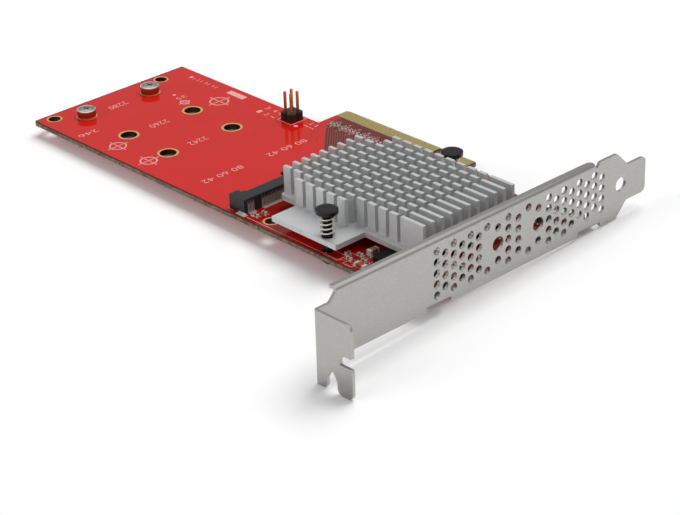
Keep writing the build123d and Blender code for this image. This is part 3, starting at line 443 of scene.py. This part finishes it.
# Unfilled nylon from a polished mould: the blackest plastic here, with a clear highlight.
pin_nylon = make_dielectric("smooth_black_nylon", "#0A0A0B", "#101011", 0.24, 0.5, 0.002, **low_gloss)
# Filled epoxy moulded round a chip: fine and matt.
chip_epoxy = make_dielectric("black_chip_epoxy", "#1B1B1C", "#242425", 0.55, 0.12, 0.003)
# Iron powder pressed with resin: nearly black, and it hardly shines.
coil_ferrite = make_dielectric("pressed_ferrite", "#0D0C0C", "#161414", 0.55, 0.3, 0.01, **no_gloss)
# Fired capacitor ceramic: tan and a little glassy.
tan_ceramic = make_dielectric("fired_tan_ceramic", "#8A6A46", "#745638", 0.4, 0.4, 0.002)
# Ceramic with an orange coat that was brushed on: its colour drifts.
fuse_brown = make_dielectric("orange_coated_ceramic", "#A84214", "#8A300E", 0.3, 0.5, 0.002)
# Soft silicone sheet filled with powder: grey, dull and grainy.
pad_silicone = make_dielectric("grey_thermal_silicone", "#8C9599", "#7B8488", 0.8, 0.3, 0.02)
# Cast epoxy over the lights: smooth, and some light passes through.
clear = {"Transmission Weight": 0.35, "IOR": 1.5}
lens_epoxy = start_finish("clear_light_epoxy", "#F2F1E6", 0.1, **clear)[0]
print("finishes so far:", len(bpy.data.materials))

# %% [markdown]
# ## Dressing the solids
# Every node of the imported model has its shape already, so it only needs its finish. One table says
# who wears what, in the order of the materials above.

# %% Dress the solids
wear = {
    board_finish: ["pcb"],
    bracket_metal: ["bracket"],
    fin_metal: ["heatsink"],
    turned_metal: ["standoffs"],
    screw_metal: ["drive_screws", "bracket_screws"],
    wire_metal: ["push_pin_spring_near", "push_pin_spring_far"],
    contact_gold: ["edge_contacts_top", "edge_contacts_bottom"],
    ring_gold: ["standoff_hole_plating", "corner_hole_plating"],
    pin_gold: ["pin_header_pins"],
    tin_metal: ["coupling_capacitor_ends", "bulk_capacitor_ends", "small_part_ends", "fuse_ends"],
    beam_metal: ["socket_contacts_near", "socket_contacts_far", "socket_anchors"],
    can_metal: ["crystal", "memory_chip_legs", "regulator_chip_legs"],
    socket_nylon: ["drive_socket_near", "drive_socket_far"],
    header_nylon: ["pin_header_base"],
    pin_nylon: ["push_pin_near", "push_pin_far"],
    chip_epoxy: ["bridge_chip", "memory_chip", "regulator_chip"],
    coil_ferrite: ["inductor"],
    tan_ceramic: ["coupling_capacitor_bodies", "bulk_capacitor_bodies", "small_part_bodies"],
    fuse_brown: ["fuse_bodies"],
    pad_silicone: ["thermal_pad"],
    lens_epoxy: ["indicator_lights"],
}
for finish, names in wear.items():
    for name in names:
        for slot in nodes[name].material_slots:
            slot.material = finish
print("dressed:", sum(len(names) for names in wear.values()), "of", len(nodes))

# %% [markdown]
# ## Broken edges
# No real edge is perfectly sharp. The fins are tumbled after cutting, and the punched holes of the
# bracket have a slight roll, so their edges catch the ceiling as fine bright lines. A Weld joins
# the solid's loose triangles, and a narrow Bevel then rounds only the sharp edges.

# %% Round the fins and the punched edges
for name, width in (("heatsink", 0.22), ("bracket", 0.14), ("standoffs", 0.12)):
    weld = nodes[name].modifiers.new("join_triangles", "WELD")
    weld.merge_threshold = 0.001 * mm
    roll = nodes[name].modifiers.new("broken_edge", "BEVEL")
    roll.width = width * mm
    roll.segments = 2
    roll.limit_method = "ANGLE"
    roll.angle_limit = math.radians(40)
    roll.use_clamp_overlap = True
    bpy.context.view_layer.update()
    dressed = nodes[name].evaluated_get(bpy.context.evaluated_depsgraph_get())
    print(name, "faces after rounding:", len(dressed.data.polygons))

# %% [markdown]
# ## Making a printed or plated layer
# Ink, traces, pads and solder are thin shapes that lie on the board. Each layer is one mesh. Strips
# and pads are flattened blocks, rings are capped circles with their middle inset and taken out, and
# numbers come from Blender's own font, turned to a mesh and then moved to their place.

# %% Blocks and strips
board_top = 0.0
board_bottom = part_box("pcb")[0].z / mm
ink = 0.02
print("board thickness:", round(board_top - board_bottom, 2), "mm")


def add_block(shape, low, high, turn=0.0):
    """A block between two corners in millimetres, turned about its own middle."""
    middle = (Vector(low) + Vector(high)) / 2 * mm
    size = (Vector(high) - Vector(low)) * mm
    place = Matrix.Translation(middle) @ Matrix.Rotation(turn, 4, "Z") @ Matrix.Diagonal((*size, 1.0))
    bmesh.ops.create_cube(shape, size=1.0, matrix=place)


def add_strip(shape, start, end, width, low=board_top, high=ink):
    """A straight strip between two points on the board."""
    start, end = Vector(start), Vector(end)
    run = end - start
    middle = (start + end) / 2
    half = Vector((run.length / 2 + width / 2, width / 2))
    turn = math.atan2(run.y, run.x)
    add_block(shape, (*(middle - half), low), (*(middle + half), high), turn)


# %% Rings and discs
def add_ring(shape, centre, radius, width, low=board_top, high=ink, segments=24):
    """A flat ring, or a disc where the width is the radius."""
    made = bmesh.ops.create_circle(
        shape,
        cap_ends=True,
        segments=segments,
        radius=radius * mm,
        matrix=Matrix.Translation(Vector((*centre, low)) * mm),
    )
    faces = list({f for v in made["verts"] for f in v.link_faces})
    if width < radius:
        rim = bmesh.ops.inset_region(
            shape, faces=faces, thickness=width * mm, use_boundary=True, use_even_offset=True
        )["faces"]
        bmesh.ops.delete(shape, geom=faces, context="FACES_ONLY")
        faces = rim
    raised = bmesh.ops.extrude_face_region(shape, geom=faces, use_keep_orig=True)
    tops = [v for v in raised["geom"] if isinstance(v, bmesh.types.BMVert)]
    bmesh.ops.translate(shape, verts=tops, vec=(0, 0, (high - low) * mm))


# %% Numbers
digit_height = 0.7  # of the font's size
thinning = 0.018  # of a digit's height, taken off its strokes


def add_number(shape, words, size, centre, turn=-90):
    """Printed digits of a width and height in millimetres. A turn of -90 reads towards the tab."""
    text = bpy.data.curves.new("number", "FONT")
    text.body = words
    text.size = size[1] * mm / digit_height
    text.offset = -thinning * size[1] * mm
    text.align_x = "CENTER"
    text.align_y = "CENTER"
    text.resolution_u = 3
    text.extrude = ink * mm / 2
    holder = bpy.data.objects.new("number", text)
    mesh = bpy.data.meshes.new_from_object(holder)
    across = [v.co.x for v in mesh.vertices]
    squeeze = size[0] * mm / (max(across) - min(across))
    lift = Matrix.Translation(Vector((*centre, ink / 2)) * mm)
    turned = Matrix.Rotation(math.radians(turn), 4, "Z")
    mesh.transform(lift @ turned @ Matrix.Diagonal((squeeze, 1, 1, 1)))
    shape.from_mesh(mesh)
    bpy.data.meshes.remove(mesh)
    bpy.data.objects.remove(holder)
    bpy.data.curves.remove(text)


# %% Keep a layer
def keep_layer(name, shape, finish):
    """Turns a bmesh into a piece of the card."""
    bmesh.ops.recalc_face_normals(shape, faces=shape.faces)
    mesh = bpy.data.meshes.new(name)
    shape.to_mesh(mesh)
    shape.free()
    mesh.materials.append(finish)
    piece = bpy.data.objects.new(name, mesh)
    bpy.context.scene.collection.objects.link(piece)
    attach(piece, "root")
    print(name, "faces:", len(mesh.polygons))


# %% [markdown]
# ## Finding the solids in a node
# A node may hold many equal parts, such as all the capacitors' ends. Ink, pads and solder have to
# lie by each of them, so the node's mesh is parted into pieces whose vertices hang together, and
# the box of each piece gives the place of one part.


# %% The boxes of a node's solids
def solids_of(node):
    """The boxes, in millimetres, of the separate solids in a node."""
    copy = bmesh.new()
    copy.from_mesh(nodes[node].data)
    bmesh.ops.remove_doubles(copy, verts=copy.verts, dist=1e-6)
    left, boxes = set(copy.verts), []
    while left:
        reached, group = [left.pop()], []
        while reached:
            vert = reached.pop()
            group.append(vert.co / mm)
            near = {e.other_vert(vert) for e in vert.link_edges} & left
            left -= near
            reached += near
        low = Vector([min(p[i] for p in group) for i in range(3)])
        high = Vector([max(p[i] for p in group) for i in range(3)])
        boxes.append((low, high))
    copy.free()
    return sorted(boxes, key=lambda box: tuple(round(v, 3) for v in box[0]))


print("capacitor ends found:", len(solids_of("coupling_capacitor_ends")))

# %% [markdown]
# ## Printed ink
# White ink is pushed through a silk screen onto the mask. It is thin enough to let some red
# through, so it is pinkish and slightly uneven. Numbers beside the holes tell the drive lengths, and
# a blank patch and plain ring targets lie between them.

# %% Print the legend
ink_white = make_dielectric("screened_white_ink", "#EDBDB6", "#DC978F", 0.5, 0.5, 0.002)
legend = bmesh.new()
for length, x in (("2280", -93.1), ("2260", -73.6), ("2242", -55.8)):
    add_number(legend, length, (6.5, 2.4), (x, -45.0))
for y in (-54.8, -30.6):
    add_number(legend, "80 60 42", (14.6, 2.2), (-33.4, y))
add_number(legend, "246", (6.6, 2.0), (-83.4, -63.6))
add_number(legend, "35", (3.4, 1.8), (-83.6, -28.2))
add_block(legend, (-76.3, -16.6, 0), (-68.9, -14.4, ink))
for i, number in enumerate("1234"):
    add_number(legend, number, (0.9, 1.3), (-93.4 + 3.4 * i, -16.0), 0)
    add_strip(legend, (-91.9 + 3.4 * i, -16.6), (-91.9 + 3.4 * i, -15.4), 0.2)
targets = {(-69.9, -63.2): 2.6, (-55.6, -63.4): 2.6, (-72.9, -22.2): 3.0, (-80.0, -29.8): 1.5}
for centre, radius in targets.items():
    add_ring(legend, centre, radius, 0.42)
    for dx, dy in ((1, 0), (0, 1)):
        step = Vector((dx, dy)) * radius * 1.35
        add_strip(legend, Vector(centre) - step, Vector(centre) + step, 0.3)
add_ring(legend, (-86.6, -28.4), 0.5, 0.5)
print("legend faces so far:", len(legend.faces))

# %% [markdown]
# ## Marks round the header and the sockets
# A frame is printed round the header, with plain numbers and plus and minus marks beside it, so
# that a lead goes on the right way round. A fine line runs along the near edge, and two corner
# marks show where each socket is to be soldered.

# %% Mark the header, the near edge and the sockets
header_low, header_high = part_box("pin_header_base")
header_low, header_high = header_low / mm, header_high / mm
margin = 0.5
fine_line = 0.14
corners = [
    (header_low.x - margin, header_low.y - margin),
    (header_high.x + margin, header_low.y - margin),
    (header_high.x + margin, header_high.y + margin),
    (header_low.x - margin, header_high.y + margin),
]
for start, end in zip(corners, corners[1:] + corners[:1]):
    add_strip(legend, start, end, 0.22)
add_block(legend, (-43.2, -19.2, 0), (-42.0, -18.2, ink), math.radians(45))
pin_numbers = {"1": (-58.4, -19.0), "2": (-55.2, -19.0), "3": (-58.4, -15.6), "4": (-55.2, -15.6)}
for number, place in pin_numbers.items():
    add_number(legend, number, (1.3, 1.9), place, 0)
for x, y in ((-52.4, -19.0), (-52.4, -15.6), (-40.4, -16.6), (-38.2, -16.6)):
    add_strip(legend, (x - 0.7, y), (x + 0.7, y), 0.3)
for x, y in ((-40.4, -14.4), (-38.2, -14.4), (-52.4, -15.6)):
    add_strip(legend, (x, y - 0.7), (x, y + 0.7), 0.3)
add_strip(legend, (-8.2, -67.9), (27.0, -67.9), 0.16)
add_strip(legend, (27.0, -67.9), (29.0, -66.9), 0.16)
for end in ("near", "far"):
    low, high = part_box("drive_socket_" + end)
    low, high = low / mm, high / mm
    for y, away in ((low.y - 0.35, -1), (high.y + 0.35, 1)):
        add_strip(legend, (low.x - 0.4, y), (low.x + 2.0, y), 0.18)
        add_strip(legend, (low.x - 0.4, y), (low.x - 0.4, y - away * 1.4), 0.18)
    add_number(legend, "1", (0.7, 1.3), (high.x + 2.2, low.y + 1.0))
print("legend faces so far:", len(legend.faces))

# %% [markdown]
# ## Outlines of the small parts
# Every soldered part stands between two printed lines, which is how a fitter finds its place. The
# lines follow the solids' own boxes, so they stay right when a part moves. Numbers beside the
# capacitors are slanted to fit between the traces.

# %% Outline the small parts
outlined = 0
side_gap = 0.22
past_ends = {
    "small_part_bodies": 0.85,
    "bulk_capacitor_bodies": 1.3,
    "fuse_bodies": 1.3,
    "coupling_capacitor_bodies": 1.3,
}
for node, reach in past_ends.items():
    for low, high in solids_of(node):
        along_x = high.x - low.x >= high.y - low.y
        grow = Vector((reach, side_gap)) if along_x else Vector((side_gap, reach))
        a, b = low.xy - grow, high.xy + grow
        if along_x:
            add_strip(legend, (a.x, a.y), (b.x, a.y), fine_line)
            add_strip(legend, (a.x, b.y), (b.x, b.y), fine_line)
        else:
            add_strip(legend, (a.x, a.y), (a.x, b.y), fine_line)
            add_strip(legend, (b.x, a.y), (b.x, b.y), fine_line)
        outlined += 1
print("outlined:", outlined)

# %% Number the capacitors and frame the chips
for x in range(-37, -14, 4):
    for y in (-8.2, -12.4):
        add_number(legend, str(12 + (x + 37) // 2), (1.5, 1.1), (x + 1.6, y), 60)
for node in ("inductor", "memory_chip", "regulator_chip", "crystal"):
    low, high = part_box(node)
    low, high = low / mm, high / mm
    a, b = low.xy - Vector((0.4, 0.4)), high.xy + Vector((0.4, 0.4))
    add_strip(legend, (a.x, a.y), (a.x, b.y), fine_line)
    add_strip(legend, (b.x, a.y), (b.x, b.y), fine_line)
    add_ring(legend, (a.x - 0.4, b.y), 0.25, 0.25, segments=12)
frames = [(25.0, -66.6, 5.2, 3.4), (30.6, -63.6, 4.4, 3.0), (31.4, -67.4, 3.2, 1.8)]
for x, y, width, height in frames:
    for along in (-height / 2, height / 2):
        add_strip(legend, (x - width / 2, y + along), (x + width / 2, y + along), 0.13)
    for across in (-width / 2, width / 2):
        add_strip(legend, (x + across, y - height / 2), (x + across, y + height / 2), 0.13)
part_numbers = {"5": (32.4, -65.0), "6": (41.0, -64.6), "7": (47.8, -64.2), "8": (43.6, -67.6)}
for number, place in part_numbers.items():
    add_number(legend, number, (0.7, 1.1), place)
keep_layer("printed_legend", legend, ink_white)

# %% [markdown]
# ## Traces
# Each contact of the edge connector leads into a copper trace. On the component face the traces run
# up to a row of coupling capacitors and then slant towards the chip under the heatsink. The mask
# covers them, so they show as fine ridges, lighter than the bare laminate's maroon round them.

# %% Draw the traces
# Mask over a narrow trace or a via: raised and thin, so a lighter and duller red than the pour's.
trace_red = make_board_finish("mask_over_traces", "#8E2E28", "#8A3730")
traces = bmesh.new()
trace_width = 0.26
contact_pitch = 1.0
finger_end = -5.3
bend = -12.2
# Number 0 is left out, because the key notch is there.
for contact in (c for c in range(-39, 13) if c):
    x = contact * contact_pitch + math.copysign(0.5, contact)
    row = -9.4 - 0.9 * (contact % 2)
    add_strip(traces, (x, finger_end), (x, row), trace_width)
    add_strip(traces, (x, finger_end), (x, row - 2.0), trace_width, board_bottom - ink, board_bottom)
    if -37 < x < -12:
        run = min(14.0, -x * 0.55)
        add_strip(traces, (x, row - 0.9), (x, bend), trace_width)
        add_strip(traces, (x, bend), (x + run, bend - run), trace_width)
for end in ("near", "far"):
    for low, high in solids_of("socket_contacts_" + end):
        y = (low.y + high.y) / 2
        add_strip(traces, (high.x + 0.6, y), (high.x + 3.6, y), 0.16)
for x, y in ((-38.8, -13.0), (-40.2, -14.4)):
    add_strip(traces, (x, -11.6), (x, y), 0.2)
    add_strip(traces, (x, y), (x + 9.0, y - 9.0), 0.2)
for i in range(5):
    add_strip(traces, (28.6 + 0.9 * i, -58.4), (28.6 + 0.9 * i, -67.2), 0.3)
keep_layer("masked_traces", traces, trace_red)

# %% [markdown]
# ## Pads and solder
# The mask leaves the copper bare under every part, and that copper is tinned. In the oven the
# solder melts and climbs the ends of each part in a small fillet. A fillet is drawn as a block
# round the part's end, narrowed at its top, which stands two fifths of the part's height.

# %% Tin the pads and solder the parts
pads = bmesh.new()
joints = bmesh.new()
pad_high = 0.03
spare = 0.14
fillet = 0.22
risen = 0.4
for node in ("coupling_capacitor_ends", "small_part_ends", "bulk_capacitor_ends", "fuse_ends"):
    for low, high in solids_of(node):
        add_block(pads, (low.x - spare, low.y - spare, 0), (high.x + spare, high.y + spare, pad_high))
        size = high - low
        wide, deep = size.x + fillet, size.y + fillet
        middle = (low + high) / 2
        place = Matrix.Translation(Vector((middle.x, middle.y, ink + size.z * risen / 2)) * mm)
        grown = Matrix.Diagonal((wide * mm, deep * mm, size.z * risen * mm, 1.0))
        made = bmesh.ops.create_cube(joints, size=1.0, matrix=place @ grown)
        tops = sorted(made["verts"], key=lambda v: v.co.z)[4:]
        taper = (size.x / wide, size.y / deep, 1.0)
        bmesh.ops.scale(joints, vec=taper, verts=tops, space=Matrix.Translation(-middle * mm))
print("solder fillets:", len(joints.faces) // 6)

# %% Tin the sockets', chips' and screws' pads
for end in ("near", "far"):
    for low, high in solids_of("socket_contacts_" + end):
        y = (low.y + high.y) / 2
        add_block(pads, (high.x - 0.7, y - 0.15, 0), (high.x + 0.55, y + 0.15, pad_high))
for low, high in solids_of("socket_anchors"):
    add_block(pads, (low.x - 0.3, low.y - 0.3, 0), (high.x + 0.3, high.y + 0.3, pad_high))
for node in ("memory_chip_legs", "regulator_chip_legs"):
    for low, high in solids_of(node):
        add_block(pads, (low.x - 0.08, low.y - 0.3, 0), (high.x + 0.08, high.y + 0.3, pad_high))
for low, high in solids_of("bracket_screws"):
    middle = (low + high) / 2
    add_ring(pads, middle.xy, 3.6, 1.9, 0, pad_high, 36)
keep_layer("tinned_pads", pads, tin_metal)

# %% [markdown]
# ## Joints under the header
# The header's pins go through the board and are soldered from below, where the solder stands round
# each pin as a cone, wide at the board and narrow at the pin's tip.

# %% Solder the header's pins
for low, high in solids_of("pin_header_pins"):
    middle = (low + high) / 2
    bmesh.ops.create_cone(
        joints,
        cap_ends=True,
        segments=16,
        radius1=0.42 * mm,
        radius2=0.85 * mm,
        depth=0.7 * mm,
        matrix=Matrix.Translation(Vector((middle.x, middle.y, board_bottom - 0.35)) * mm),
    )
keep_layer("solder_joints", joints, tin_metal)

# %% [markdown]
# ## Tails of the socket's contacts
# Each spring in a drive socket ends in a thin flat tail, which climbs out of the board at the back
# of the housing and is let into it. They are narrow blocks, each in line with its contact.

# %% Stand the contact tails on the sockets' backs
tails = bmesh.new()
tail_half = 0.07
tail_top = 0.62
for end in ("near", "far"):
    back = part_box("drive_socket_" + end)[1] / mm
    for low, high in solids_of("socket_contacts_" + end):
        y = (low.y + high.y) / 2
        top = back.z * tail_top
        add_block(tails, (back.x - 0.02, y - tail_half, 0.3), (back.x + 0.09, y + tail_half, top))
keep_layer("contact_tails", tails, beam_metal)

# %% [markdown]
# ## Vias
# Small plated holes join the copper on the two faces. The mask runs over them, so each is a low
# ring. They are scattered over the fields where the real board has them, from a fixed seed, and
# each has its twin on the underside.

# %% Stitch the board with vias
random.seed(7)
vias = bmesh.new()
fields = [
    ((-36, -21.5), (-29, -13.5), 9),
    ((-7.6, -66.6), (2, -59.5), 12),
    ((28, -67.5), (54, -58.5), 26),
    ((48.4, -46), (55.4, -32), 18),
    ((14, -14.8), (46, -9), 26),
    ((-28, -22), (-8, -13.5), 14),
]
for low, high, count in fields:
    for _ in range(count):
        spot = (random.uniform(low[0], high[0]), random.uniform(low[1], high[1]))
        add_ring(vias, spot, 0.3, 0.16, 0, 0.025, 10)
        add_ring(vias, spot, 0.3, 0.16, board_bottom - 0.025, board_bottom, 10)
keep_layer("masked_vias", vias, trace_red)

# %% [markdown]
# ## Measure
# The box of the dressed card is measured against the solids' own box, and how much it grew is printed.

# %% Measure and finish
dressed_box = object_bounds()
both_boxes = zip(solid_box, dressed_box)
print("grown by mm:", [round((a - b) / mm, 3) for p, q in both_boxes for a, b in zip(p, q)])
